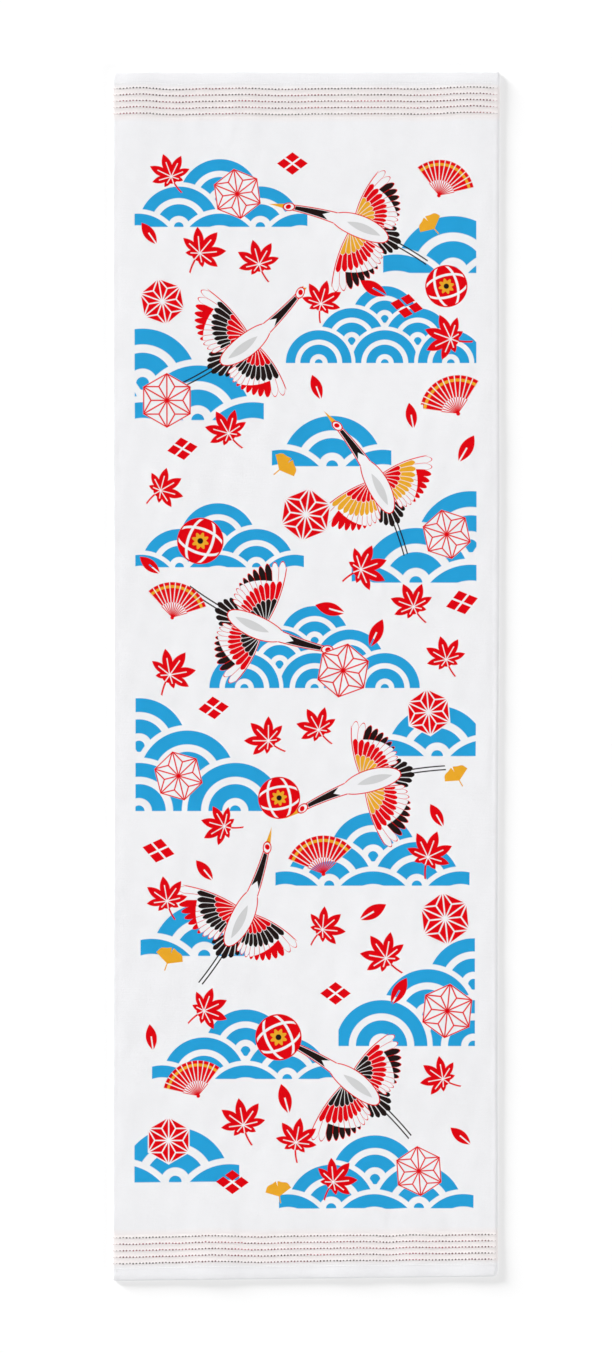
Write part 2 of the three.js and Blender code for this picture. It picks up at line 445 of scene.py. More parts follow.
class Field:
    """A number that varies over a surface. Working with it adds nodes to its tree."""

    def __init__(self, tree, socket):
        self.tree, self.socket = tree, socket

    def math(self, operation, *others, clamp=False):
        node = self.tree.nodes.new("ShaderNodeMath")
        node.operation, node.use_clamp = operation, clamp
        for pin, value in zip(node.inputs, (self, *others)):
            if isinstance(value, Field):
                self.tree.links.new(value.socket, pin)
            else:
                pin.default_value = value
        return Field(self.tree, node.outputs[0])

    def __add__(self, other):
        return self.math("ADD", other)

    def __sub__(self, other):
        return self.math("SUBTRACT", other)

    def __rsub__(self, other):
        return self.math("MULTIPLY_ADD", -1.0, other)

    def __mul__(self, other):
        return self.math("MULTIPLY", other)

    def __truediv__(self, other):
        return self.math("DIVIDE", other)

    def __abs__(self):
        return self.math("ABSOLUTE")

    def fraction(self):
        return self.math("FRACT")

    def scaled(self, times, plus, clamp=False):
        return self.math("MULTIPLY_ADD", times, plus, clamp=clamp)

    def ink(self, softness):
        """1 where a distance is under 0 and 0 where it is over, with a soft edge."""
        return self.scaled(-1 / softness, 0.5, clamp=True)


def lower(first, *others):
    for other in others:
        first = first.math("MINIMUM", other)
    return first


def higher(first, *others):
    for other in others:
        first = first.math("MAXIMUM", other)
    return first


def length_of(x, y):
    return (y * y + x * x).math("SQRT")


def angle_of(y, x):
    return y.math("ARCTAN2", x)


def along(tree, point, x, y):
    """How far a point lies along a direction."""
    node = tree.nodes.new("ShaderNodeVectorMath")
    node.operation = "DOT_PRODUCT"
    tree.links.new(point, node.inputs[0])
    node.inputs[1].default_value = (x, y, 0)
    return Field(tree, node.outputs["Value"])


def vector_of(x, y):
    node = x.tree.nodes.new("ShaderNodeCombineXYZ")
    x.tree.links.new(x.socket, node.inputs[0])
    x.tree.links.new(y.socket, node.inputs[1])
    return node.outputs[0]


def parts_of(tree, vector):
    """A vector's x, y and z."""
    node = tree.nodes.new("ShaderNodeSeparateXYZ")
    tree.links.new(vector, node.inputs[0])
    return [Field(tree, pin) for pin in node.outputs]


def paint(tree, under, ink, mask, blend="MIX"):
    """Lays an ink over a colour where a mask is 1. Either is a colour or a socket."""
    node = tree.nodes.new("ShaderNodeMix")
    node.data_type, node.blend_type = "RGBA", blend
    tree.links.new(mask.socket, node.inputs[0])
    for pin, value in ((6, under), (7, ink)):
        if isinstance(value, bpy.types.NodeSocket):
            tree.links.new(value, node.inputs[pin])
        else:
            node.inputs[pin].default_value = (*value, 1)
    return node.outputs[2]


def own_map(tree, name):
    node = tree.nodes.new("ShaderNodeUVMap")
    node.uv_map = name
    return node.outputs[0]


def own_number(tree, name):
    node = tree.nodes.new("ShaderNodeAttribute")
    node.attribute_name = name
    return Field(tree, node.outputs["Fac"])


def scallop(x, y, soft):
    """One scallop of a wave bank, of radius 1: where it covers what is behind, and where it has ink."""
    band_pitch, ink_share, rim = 0.44, 0.66, 0.11
    distance = length_of(x, y)
    covers = (distance - (1 + rim)).ink(soft)
    from_rim = (1 - distance) * (1 / band_pitch)
    band = abs(from_rim.fraction() - ink_share / 2) - ink_share / 2
    inked = band.ink(soft / band_pitch) * (distance - 1).ink(soft)
    return covers, inked


def draw_waves(tree, colour, inks):
    """A bank of scalloped waves, its hind row painted first."""
    soft = 0.016
    x, y, _ = parts_of(tree, own_map(tree, "waves"))
    kind = own_number(tree, "waves_kind")
    # A bank of fewer rows is drawn as the upper part of one of three rows.
    x, lift = abs(x), (3 - kind) * SCALLOP_STEP
    y = y + lift
    inked = None
    for row, place in ((2, 0), (1, 1), (0, 0), (0, 2)):
        covers, own = scallop(x - place, y - row * SCALLOP_STEP, soft)
        inked = own if inked is None else inked + (own - inked) * covers
    inked = inked * (lift - y).ink(soft)
    inked = inked * kind.math("GREATER_THAN", 0.5)
    across = abs(parts_of(tree, own_map(tree, "cloth"))[0])
    inked = inked * (across - PRINT_HALF_WIDTH).ink(INK_SOFTNESS)
    return paint(tree, colour, inks["blue"], inked)


def feathers(radius, angle, count, spread, near, far):
    """A row of feathers fanned round a shoulder: how far a point lies past their tips, how far from
    the gap between two, and which feather it is on."""
    place = angle * (count / spread)
    nth = place.math("FLOOR")
    reach = nth.scaled((far - near) / count, near)
    aside = (place - nth) - 0.5
    tip = reach * (aside * aside).scaled(-0.45, 1.0)
    beyond = radius - tip
    gap = (radius * (spread / count)) * (0.5 - abs(aside))
    return beyond, gap, nth


def outside_ellipse(x, y, half_length, half_width):
    """About how far a point lies outside an ellipse."""
    near = length_of(x * (1 / half_length), y * (1 / half_width))
    slope = length_of(x * (1 / half_length**2), y * (1 / half_width**2))
    return (near - 1) * near / higher(slope, 0.001)


def draw_cranes(tree, colour, inks):
    """A crane in flight, seen from above, in millimetres from its middle, flying along X."""
    soft = INK_SOFTNESS
    line = 0.42
    bend = 0.0018
    x, y, _ = parts_of(tree, own_map(tree, "cranes"))
    kind = own_number(tree, "cranes_kind")
    there = kind.math("GREATER_THAN", 0.5)
    y = y - (x * x) * bend
    aside = abs(y)

    def lay(ink, mask):
        nonlocal colour
        colour = paint(tree, colour, inks[ink] if isinstance(ink, str) else ink, mask * there)

    def by_kind(part):
        """The ink that this kind of crane has on a part of its wing."""
        names = WING_INKS[part]
        step = 1 / len(names)
        ramp = tree.nodes.new("ShaderNodeValToRGB")
        ramp.color_ramp.interpolation = "CONSTANT"
        tree.links.new((kind * step).socket, ramp.inputs[0])
        elements = ramp.color_ramp.elements
        while len(elements) < len(names):
            elements.new(0.5)
        for number, name in enumerate(names):
            elements[number].position = max(0.0, (number - 0.5) * step)
            elements[number].color = (*inks[name], 1)
        return ramp.outputs[0]

    # Legs and tail.
    legs = higher(abs(aside - 1.6) - 0.55, x + 20, -62 - x)
    lay("black", legs.ink(soft))
    tail_x, tail_spread = -8 - x, 0.62
    tail_radius = length_of(tail_x, aside)
    tail_angle = angle_of(aside, tail_x)
    beyond, gap, _ = feathers(tail_radius, tail_angle, 3, tail_spread, 28, 21)
    beyond = higher(beyond, (tail_angle - tail_spread) * tail_radius)
    lay("black", beyond.ink(soft))
    lay("white", higher(gap - 0.3, beyond, 9 - tail_radius).ink(soft))

    # Wings, each with three rows of feathers. The far one is a little shorter, as in a banking turn.
    shorter = y.math("LESS_THAN", 0.0)
    wing_x, wing_y = x - 7, aside * shorter.scaled(0.14, 1.0) - 4
    radius = length_of(wing_x, wing_y)
    angle = angle_of(wing_x * -1, wing_y) - radius * 0.0045 + 0.16
    spread = 1.42
    off_wing = higher(angle * -1, angle - spread) * radius
    beyond, gap, nth = feathers(radius, angle, 11, spread, 54, 31)
    beyond = higher(beyond, off_wing)
    lay("white", beyond.ink(soft))
    tips = higher(beyond, nth.scaled(0.2, 36) - radius, 1.5 - nth)
    lay(by_kind("tips"), tips.ink(soft))
    lay("red", higher(gap - line / 2, beyond, 20 - radius).ink(soft))
    lay("red", (abs(beyond) - line).ink(soft))
    for part, count, near, far in (("covert", 9, 38, 24), ("shoulder", 6, 23, 15)):
        beyond, gap, _ = feathers(radius, angle, count, spread, near, far)
        beyond = higher(beyond, off_wing + 2 * line)
        lay("white", (beyond - line).ink(soft))
        lay(by_kind(part), higher(beyond, line / 2 - gap).ink(soft))

    # Body with its grey saddle.
    body = outside_ellipse(x, aside, 25, 9)
    lay("white", body.ink(soft))
    lay("red", (abs(body) - line).ink(soft))
    saddle_x = x.scaled(1 / 30, 0.6)
    saddle = aside - (saddle_x * (1 - saddle_x)) * 13
    lay("grey", saddle.ink(soft))

    # Neck, head, crown and beak.
    neck_share = x.scaled(1 / 40, -18 / 40)
    off_neck = aside - neck_share.scaled(-2.6, 4.8)
    lay("white", higher(off_neck, 18 - x, x - 59).ink(soft))
    lay("red", higher(abs(off_neck) - line, 22 - x, x - 59).ink(soft))
    lay("black", higher(off_neck + 0.8, 33 - x - aside * 1.6, x - 56).ink(soft))
    head = length_of(x.scaled(1 / 1.35, -61 / 1.35), aside) - 3.3
    lay("gold", higher(aside - x.scaled(-0.16, 12.4), 61 - x).ink(soft))
    lay("white", head.ink(soft))
    lay("red", (abs(head) - line).ink(soft))
    lay("red", (length_of(x - 61.5, aside) - 2.1).ink(soft))
    return colour


def lobe(tree, point, degrees, length, half_width):
    """A pointed lobe from the origin: how far a point lies outside it, how far it lies from the middle
    line, and how far along it is from 0 to 1."""
    turn = math.radians(degrees)
    share = along(tree, point, math.cos(turn) / length, math.sin(turn) / length)
    aside = abs(along(tree, point, -math.sin(turn), math.cos(turn)))
    outside = (share * (1 - share)) * (-4 * half_width) + aside
    return outside, aside, share


def draw_sprigs(tree, colour, inks):
    """Small motifs of radius 1, told apart by their number."""
    soft = 0.022
    place = own_map(tree, "sprigs")
    x, y, _ = parts_of(tree, place)
    kind = own_number(tree, "sprigs_kind")
    radius, angle = length_of(x, y), angle_of(x, y)
    folded = vector_of(abs(x), y)

    def where(name):
        return kind.math("COMPARE", float(SPRIG_KINDS[name]), 0.2)

    # Maple leaf: seven pointed lobes with white veins, and a stem.
    sizes = ((90, 1.0, 0.2), (45, 0.97, 0.19), (3, 0.82, 0.155), (-38, 0.52, 0.12))
    lobes = [lobe(tree, folded, *size) for size in sizes]
    leaf = lower(radius - 0.3, *(outside for outside, _, _ in lobes))
    veins = lower(*(higher(aside, share - 0.62) for _, aside, share in lobes))
    stem = higher(abs(x - (y * y) * 0.3) - 0.035, y, -0.78 - y)
    maple = lower(leaf, stem).ink(soft) * where("maple")
    maple_veins = higher(veins - 0.018, leaf).ink(soft) * where("maple")

    # Ginkgo leaf: a notched fan on a stem.
    low_y = y + 0.45
    fan_radius, fan_angle = length_of(x, low_y), abs(angle_of(x, low_y))
    notch = (fan_angle * 9).ink(1.0) * 0.9
    fan = higher(fan_radius + notch - (fan_angle * 9).math("COSINE") * 0.04 - 1.25, fan_angle - 1.1)
    ginkgo = lower(fan, higher(abs(x) - 0.045, y + 0.4, -1.0 - y)).ink(soft) * where("ginkgo")

    # Hemp-leaf star: a hexagon cut into its petals.
    fold = angle.math("PINGPONG", math.pi / 6)
    star_x, star_y = radius * fold.math("COSINE"), radius * fold.math("SINE")
    star = vector_of(star_x, star_y)
    edge = along(tree, star, math.cos(math.pi / 6), math.sin(math.pi / 6)) - math.cos(math.pi / 6)
    petal = along(tree, star, 0.5, math.cos(math.pi / 6)) - 0.5
    middle = abs(along(tree, star, 0.5, -math.cos(math.pi / 6)))
    hexagon = edge.ink(soft)
    lines = lower(abs(edge + 0.02), abs(petal), star_y, higher(middle, petal)) - 0.026
    red_star = where("red star")
    hexagon = hexagon * (where("hemp star") + red_star)
    star_lines = abs(red_star - lines.ink(soft)) * hexagon

    # Lozenge of four diamonds.
    across, up = abs(x), abs(y) * 1.35
    diamonds = higher(across + up - 1, 0.1 - abs(across - up))
    lozenge = diamonds.ink(soft * 1.6) * where("lozenge")

    # Ball wound with bands, with a rosette.
    ball_edge = radius - 0.96
    bow = higher(1 - y * y, 0.0).math("SQRT")
    other_bow = higher(1 - x * x, 0.0).math("SQRT")
    bands = lower(abs(across - bow * 0.5) - 0.055, abs(abs(y) - other_bow * 0.5) - 0.055)
    rosette = radius - (angle * 8).math("COSINE").scaled(0.06, 0.3)
    ball = ball_edge.ink(soft) * where("ball")
    ball_bands = higher(bands, ball_edge + 0.06, 0.06 - rosette).ink(soft) * where("ball")
    ball_rosette = rosette.ink(soft) * where("ball")
    ball_heart = (radius - 0.12).ink(soft) * where("ball")

    # Narrow leaf with its middle line.
    blade, blade_middle, blade_share = lobe(tree, vector_of(x, y + 1), 90, 2.0, 0.42)
    blade = higher(blade, 0.05 - higher(blade_middle, blade_share * 1.6 - 0.8))
    narrow = blade.ink(soft * 1.6) * where("leaf")

    # Folding fan: pleated paper with a gold band, on thin sticks.
    high_y = y + 0.6
    spread_radius, spread_angle = length_of(x, high_y), abs(angle_of(x, high_y))
    pleat = abs((spread_angle * 6 + 0.5).fraction() - 0.5) * (1 / 6) * spread_radius
    in_spread = spread_angle - 1.0
    paper = higher(spread_radius - 1.35, 0.58 - spread_radius, in_spread)
    sticks = higher(pleat - 0.018, spread_radius - 0.6, in_spread - 0.04)
    fan_mask = lower(paper, sticks, spread_radius - 0.07).ink(soft) * where("fan")
    fan_pleats = higher(pleat - 0.016, paper).ink(soft) * where("fan")
    fan_band = higher(abs(spread_radius - 1.18) - 0.05, in_spread).ink(soft) * where("fan")

    for ink, mask in (
        ("gold", ginkgo),
        ("white", hexagon),
        ("red", higher(maple, star_lines, lozenge, ball, narrow, fan_mask)),
        ("gold", higher(ball_rosette, fan_band)),
        ("white", higher(maple_veins, ball_bands, fan_pleats)),
        ("black", ball_heart),
    ):
        colour = paint(tree, colour, inks[ink], mask)
    return colour


def new_group(name, inputs, outputs):
    """A shader node group: its tree, and the nodes that hold what it is given and what it puts out."""
    kinds = {"Place": "NodeSocketVector", "Color": "NodeSocketColor"}
    tree = bpy.data.node_groups.new(name, "ShaderNodeTree")
    for labels, way in ((inputs, "INPUT"), (outputs, "OUTPUT")):
        for label in labels:
            kind = kinds.get(label, "NodeSocketFloat")
            tree.interface.new_socket(name=label, in_out=way, socket_type=kind)
    return tree, tree.nodes.new("NodeGroupInput"), tree.nodes.new("NodeGroupOutput")


def place_group(tree, name, **values):
    node = tree.nodes.new("ShaderNodeGroup")
    node.node_tree = bpy.data.node_groups[name]
    for label, value in values.items():
        if isinstance(value, bpy.types.NodeSocket):
            tree.links.new(value, node.inputs[label])
        else:
            node.inputs[label].default_value = value
    return node


def noise(tree, place, scale, detail=2.0, stretch=(1, 1, 1)):
    node = tree.nodes.new("ShaderNodeMapping")
    node.inputs["Scale"].default_value = stretch
    tree.links.new(place, node.inputs["Vector"])
    texture = tree.nodes.new("ShaderNodeTexNoise")
    texture.inputs["Scale"].default_value = scale
    texture.inputs["Detail"].default_value = detail
    tree.links.new(node.outputs[0], texture.inputs["Vector"])
    return Field(tree, texture.outputs["Fac"])


def weave_group():
    """Plain weave: warp and weft passing over and under each other, with gaps between them."""
    tree, given, result = new_group("towel_plain_weave", ("Place", "Pitch"), ("Height", "Gap"))
    x, y, _ = parts_of(tree, given.outputs["Place"])
    pitch = Field(tree, given.outputs["Pitch"])
    x, y = x / pitch, y / pitch
    checker = ((x.math("FLOOR") + y.math("FLOOR")) * 0.5).fraction() * 2
    across, up = abs(x.fraction() - 0.5), abs(y.fraction() - 0.5)
    warp = (across * across).scaled(-4, 1) * (up * up).scaled(-2.2, 1)
    weft = (up * up).scaled(-4, 1) * (across * across).scaled(-2.2, 1)
    height = warp + (weft - warp) * checker
    tree.links.new(height.socket, result.inputs["Height"])
    tree.links.new((1 - height).math("POWER", 3.0).socket, result.inputs["Gap"])


def yarn_group(colours):
    """Mottled border yarn: runs of grey and of red floats, darker and lighter, along each line. The
    middle lines are redder, and the lines near the field paler."""
    tree, given, result = new_group("towel_mottled_yarn", ("Place", "Line"), ("Color",))
    place = given.outputs["Place"]
    line = Field(tree, given.outputs["Line"])
    middle = (2 - abs(line - 2)).math("MINIMUM", 1.0)
    runs = noise(tree, place, 1.0, 1.0, (26, 700, 0))
    single = noise(tree, place, 1.0, 0.0, (420, 700, 0))
    reds = noise(tree, place, 1.0, 1.0, (17, 460, 3))
    light = (runs * 0.7 + single * 0.35 + line * 0.022).scaled(3.4, -1.6, clamp=True)
    red = (reds + middle * 0.17).scaled(4.5, -1.95, clamp=True)
    grey_shade = paint(tree, tuple(colours.dark_yarn), tuple(colours.pale_yarn), light)
    red_shade = paint(tree, tuple(colours.dark_red_yarn), tuple(colours.pale_red_yarn), light)
    tree.links.new(paint(tree, grey_shade, red_shade, red), result.inputs["Color"])


def twist_group():
    """Plied thread: diagonal plies, so many to a metre, and fine fuzz, as a height."""
    tree, given, result = new_group("towel_plied_thread", ("Place", "Plies"), ("Height",))
    x, y, _ = parts_of(tree, given.outputs["Place"])
    plies = Field(tree, given.outputs["Plies"])
    ridge = abs(((x + y * 1.2) * plies).math("SINE"))
    fuzz = noise(tree, given.outputs["Place"], 2600.0, 1.0)
    tree.links.new((ridge + fuzz * 0.5).socket, result.inputs["Height"])


def new_material(name, roughness, sheen, specular):
    """A material whose shader's even values are set on its own sockets."""
    material = bpy.data.materials.new(name)
    material.use_nodes = True
    tree = material.node_tree
    shader = tree.nodes["Principled BSDF"]
    shader.inputs["Roughness"].default_value = roughness
    shader.inputs["Sheen Weight"].default_value = sheen
    shader.inputs["Sheen Roughness"].default_value = 0.6
    shader.inputs["Specular IOR Level"].default_value = specular
    return material, tree, shader


def bump(tree, shader, height, distance):
    node = tree.nodes.new("ShaderNodeBump")
    node.inputs["Strength"].default_value = 1.0
    node.inputs["Distance"].default_value = distance
    tree.links.new(height.socket, node.inputs["Height"])
    tree.links.new(node.outputs[0], shader.inputs["Normal"])


def object_place(tree):
    return tree.nodes.new("ShaderNodeTexCoord").outputs["Object"]


def underside_of(tree):
    """1 where a face looks down and 0 where it looks up."""
    normal = tree.nodes.new("ShaderNodeTexCoord").outputs["Normal"]
    return parts_of(tree, normal)[2].scaled(-4, 0.5, clamp=True)


def cloth_material(sizes, colours):
    material, tree, shader = new_material("towel_cotton", 0.93, 0.02, 0.0)
    inks = {name: tuple(getattr(colours, name)) for name in ("blue", "red", "black", "gold", "grey")}
    ground = inks["white"] = tuple(colours.ground)
    flat, place = own_map(tree, "cloth"), object_place(tree)
    x, y, _ = parts_of(tree, flat)
    depth = sizes.length / MM / 2 - abs(y)
    inset = sizes.width / MM / 2 - abs(x)
    underside = underside_of(tree)
    in_field = (FIELD_DEPTH - 1.0 - depth).ink(1.2)

    # The ground: clean cotton, a shade warmer in the borders.
    in_border = (depth - FIELD_DEPTH - 0.6).ink(6.0) * (SEAM_DEPTH + 2.6 - depth).ink(5.0)
    colour = paint(tree, ground, tuple(colours.border), in_border)

    # Border yarn shows through faintly between its floats, but not on the selvedges.
    rib = (depth - FIRST_RIB_DEPTH) * (1 / RIB_PITCH)
    off_rib = abs((rib + 0.5).fraction() - 0.5) * RIB_PITCH
    off_ribs = higher(-0.4 - rib, rib - (RIB_COUNT - 0.6))
    on_rib = higher(off_rib - 0.42, off_ribs).ink(0.5) * (2.5 - inset).ink(4.0)
    yarn = place_group(tree, "towel_mottled_yarn", Place=place, Line=rib.socket)
    colour = paint(tree, colour, yarn.outputs["Color"], on_rib * 0.06)

    # The print, which only shows through faintly behind.
    printed = colour
    for draw in (draw_waves, draw_cranes, draw_sprigs):
        printed = draw(tree, printed, inks)
    colour = paint(tree, printed, colour, underside * 0.9)

    # Gauze face, tighter border weave, and looped pile behind.
    gauze = place_group(tree, "towel_plain_weave", Place=flat, Pitch=sizes.gauze_pitch / MM)
    tight = place_group(tree, "towel_plain_weave", Place=flat, Pitch=sizes.border_pitch / MM)
    loops = tree.nodes.new("ShaderNodeTexVoronoi")
    loops.inputs["Scale"].default_value = MM / sizes.loop_pitch
    loops.inputs["Randomness"].default_value = 0.75
    tree.links.new(flat, loops.inputs["Vector"])
    loop_height = (1 - Field(tree, loops.outputs["Distance"])) * 3
    border_face = Field(tree, tight.outputs["Height"]) * 0.45
    face = border_face + (Field(tree, gauze.outputs["Height"]) - border_face) * in_field
    slub = noise(tree, flat, 1.0, 2.0, (0.05, 0.9, 0))
    lumps = noise(tree, flat, 0.35, 3.0)
    height = face + slub * 0.5 + lumps * 0.8
    height = height + (loop_height - height) * (underside * in_field)

    # Painted shade: the gaps between the gauze's threads are darkened as if in shade, the borders and
    # hems are darker all over, and the whole is slightly mottled.
    gaps = Field(tree, gauze.outputs["Gap"]) * in_field
    mottle = noise(tree, flat, 0.06, 3.0)
    shade = gaps * 0.14 + mottle * 0.07 + (1 - in_field) * 0.07
    # Multiplies the painted gap shade, the darker borders and the mottle into the colour.
    colour = paint(tree, colour, (0.4, 0.4, 0.42), shade, "MULTIPLY")
    tree.links.new(colour, shader.inputs["Base Color"])
    tree.links.new(gaps.scaled(0.05, 0.9).socket, shader.inputs["Roughness"])
    bump(tree, shader, height, 0.22 * MM)
    return material


def yarn_material(sizes, colours):
    """Coloured floats, paler where they end near the selvedges."""
    material, tree, shader = new_material("border_yarn", 0.92, 0.04, 0.1)
    place = object_place(tree)
    x, y, _ = parts_of(tree, place)
    first_rib = sizes.length / 2 - FIRST_RIB_DEPTH * MM
    line = (first_rib - abs(y)) * (1 / (RIB_PITCH * MM))
    colour = place_group(tree, "towel_mottled_yarn", Place=place, Line=line.socket).outputs["Color"]
    pale = (sizes.width / 2 - 5 * MM - abs(x)).ink(8 * MM) * 0.6
    colour = paint(tree, colour, tuple(colours.border), pale)
    tree.links.new(colour, shader.inputs["Base Color"])
    twist = place_group(tree, "towel_plied_thread", Place=place, Plies=7000.0)
    bump(tree, shader, Field(tree, twist.outputs["Height"]), 0.08 * MM)
    return material


def thread_material(colours):
    """Sewing thread, with painted shade between its plies."""
    material, tree, shader = new_material("hem_thread", 0.6, 0.1, 0.4)
    twist = place_group(tree, "towel_plied_thread", Place=object_place(tree), Plies=9000.0)
    height = Field(tree, twist.outputs["Height"])
    thread = tuple(colours.thread)
    # Painted shade: a darker copy of the thread's colour, laid where the plies dip between their
    # ridges.
    ply_shade = tuple(0.8 * part for part in thread)
    colour = paint(tree, thread, ply_shade, (1 - height) * 0.6)
    tree.links.new(colour, shader.inputs["Base Color"])
    bump(tree, shader, height, 0.05 * MM)
    return material


def new_object(name, data):
    piece = bpy.data.objects.new(name, data)
    bpy.context.scene.collection.objects.link(piece)
    return piece


# Small pieces modelled once and laid along the cloth.

def select_end(edited, direction):
    """Selects the faces that look along X in this direction, at that end."""
    bpy.ops.mesh.select_all(action="DESELECT")
    shape = bmesh.from_edit_mesh(edited.data)
    for face in shape.faces:
        face.select_set(face.normal.x * direction > 0.9)
    bmesh.update_edit_mesh(edited.data)


# How each end of a float is drawn out: how far outwards, how much narrower, and how far down.
FLOAT_STEPS = ((0.14, 0.86, -0.06), (0.08, 0.6, -0.14), (0.03, 0.4, -0.12))


def model_float(name, length, width, height):
    """One float of yarn or thread along X: a flattened bar whose ends narrow and dip into the cloth."""
    if bpy.context.object and bpy.context.object.mode != "OBJECT":
        bpy.ops.object.mode_set(mode="OBJECT")
    bpy.ops.object.select_all(action="DESELECT")
    bpy.ops.mesh.primitive_cylinder_add(
        vertices=8, radius=0.5, depth=0.5, rotation=(0, math.pi / 2, 0), location=(0, 0, 0)
    )
    piece = bpy.context.object
    piece.name = name
    bpy.ops.object.transform_apply(rotation=True)
    bpy.ops.object.mode_set(mode="EDIT")
    for direction in (-1, 1):
        end, drop = 0.25, 0.0
        for outward, narrowing, dip in FLOAT_STEPS:
            select_end(piece, direction)
            bpy.ops.mesh.extrude_region_move(
                TRANSFORM_OT_translate={"value": (direction * outward, 0, dip)}
            )
            end, drop = end + outward, drop + dip
            bpy.ops.transform.resize(
                value=(1, narrowing, narrowing), center_override=(direction * end, 0, drop)
            )
    bpy.ops.mesh.select_all(action="SELECT")
    bpy.ops.transform.resize(value=(length, width, height), center_override=(0, 0, 0))
    bpy.ops.mesh.normals_make_consistent(inside=False)
    bpy.ops.object.mode_set(mode="OBJECT")
    return piece


Laid = namedtuple("Laid", "point along scale yaw")


def lay_copies(template, name, laid, material):
    """Copies a modelled piece to each place, joined into one mesh that rides on the towel."""
    shape = template.data
    corners = np.array([v.co for v in shape.vertices])
    faces = [list(p.vertices) for p in shape.polygons]
    points, all_faces = [], []
    for number, item in enumerate(laid):
        cos, sin = math.cos(item.yaw), math.sin(item.yaw)
        ahead = item.along / np.linalg.norm(item.along)
        side = np.cross([0, 0, 1], ahead)
        side /= np.linalg.norm(side)
        up = np.cross(ahead, side)
        ahead, side = ahead * cos + side * sin, side * cos - ahead * sin
        points.append(corners * item.scale @ np.stack([ahead, side, up]) + item.point)
        all_faces += [[number * len(corners) + v for v in face] for face in faces]
    mesh = bpy.data.meshes.new(name)
    mesh.from_pydata(np.concatenate(points), [], all_faces)
    mesh.materials.append(material)
    mesh.shade_smooth()
    mesh.update()
    piece = new_object(name, mesh)
    bpy.data.objects.remove(template)
    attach(piece, BODY)


def line_places(cloth, start, pitch, y):
    """Places every so far along a line across the cloth, with the line's direction at each."""
    step = 0.4
    x = np.arange(start, cloth.width / 2 - step, pitch)
    y = np.full_like(x, y)
    ahead = cloth.upper(x + step, y) - cloth.upper(x - step, y)
    return x, cloth.upper(x, y) * MM, ahead


# The add-on's values.

def size_property(label, text, metres):
    return bpy.props.FloatProperty(
        name=label, description=text, default=metres, unit="LENGTH", subtype="DISTANCE", precision=5
    )


def colour_property(label, text, *shown):
    return bpy.props.FloatVectorProperty(
        name=label, description=text, default=linear(*shown), subtype="COLOR", size=3, min=0, max=1
    )


def strength_property(label, text, strength):
    return bpy.props.FloatProperty(name=label, description=text, default=strength, min=0)


class TowelSizes(bpy.types.PropertyGroup):
    """Sizes of the towel and of its threads."""

    length: size_property("Length", "Length of the hemmed towel", 1.1)
    width: size_property("Width", "Width over both selvedges", 0.352)
    gauze_pitch: size_property("Gauze Pitch", "Spacing of the face's threads", 0.0009)
    border_pitch: size_property("Border Pitch", "Spacing of the border's threads", 0.0006)
    loop_pitch: size_property("Loop Pitch", "Spacing of the pile loops behind", 0.0017)
    yarn_pitch: size_property("Yarn Pitch", "Spacing of the coloured floats in a border", 0.003)
    yarn_length: size_property("Yarn Float", "Length of one coloured float", 0.00155)
    yarn_width: size_property("Yarn Width", "Width of one coloured float", 0.0013)
    yarn_height: size_property("Yarn Height", "Thickness of one coloured float", 0.00056)
    stitch_pitch: size_property("Stitch Pitch", "Spacing of the hem's stitches", 0.0029)
    thread_width: size_property("Thread Width", "Width of the sewing thread", 0.0004)


class TowelColours(bpy.types.PropertyGroup):
    """Colours of the cloth, its inks and its threads."""

    ground: colour_property("Ground", "Unprinted cotton", 243, 243, 245)
    border: colour_property("Border", "Cotton of the borders", 246, 240, 239)
    blue: colour_property("Blue", "Ink of the waves", 40, 161, 218)
    red: colour_property("Red", "Ink of the leaves and outlines", 226, 4, 16)
    black: colour_property("Black", "Ink of the wing tips", 33, 23, 22)
    gold: colour_property("Gold", "Ink of the small fans", 236, 170, 44)
    grey: colour_property("Grey", "Ink of the saddles", 212, 212, 213)
    thread: colour_property("Thread", "Sewing thread of the hems", 244, 244, 244)
    dark_yarn: colour_property("Dark Yarn", "Darkest grey of the border yarn", 22, 19, 22)
    pale_yarn: colour_property("Pale Yarn", "Palest grey of the border yarn", 124, 124, 118)
    dark_red_yarn: colour_property("Dark Red Yarn", "Darkest red of the border yarn", 62, 8, 24)
    pale_red_yarn: colour_property("Pale Red Yarn", "Palest red of the border yarn", 186, 94, 112)


class TowelStage(bpy.types.PropertyGroup):
    """The floor, the lights and the camera."""

    floor: colour_property("Floor", "Plain pale floor", 250, 250, 250)
    sky: strength_property("Sky", "Strength of the even light", 0.402)
    overhead: strength_property("Overhead", "Strength of the light from above", 1.07)
    raking: strength_property("Raking", "Strength of the low light from the upper left", 6.0)
    fill: strength_property("Fill", "Strength of the low light from the lower right", 1.26)
    camera_height: size_property("Camera Height", "Height of the camera over the floor", 3.425)


# The lights, by the values that set their strengths: their elevation, the way that they come from,
# anticlockwise from the right, and how wide they look, in degrees.
Light = namedtuple("Light", "name elevation bearing spread")
LIGHTS = (Light("overhead", 86, 120, 14), Light("raking", 8, 141, 15), Light("fill", 9, -39, 12))

# The camera's middle over the floor in metres, and its lens and sensor in millimetres.
CAMERA_MIDDLE = (0.00068, -0.00046)
CAMERA_LENS = 100
CAMERA_SENSOR = 36

# The floor's size, and how far it lies under the towel.
FLOOR_SIZE = 60
FLOOR_GAP = 0.0001


# The add-on's steps.

class TowelStep:
    """What the towel's operators share."""

    bl_options = {"REGISTER", "UNDO"}


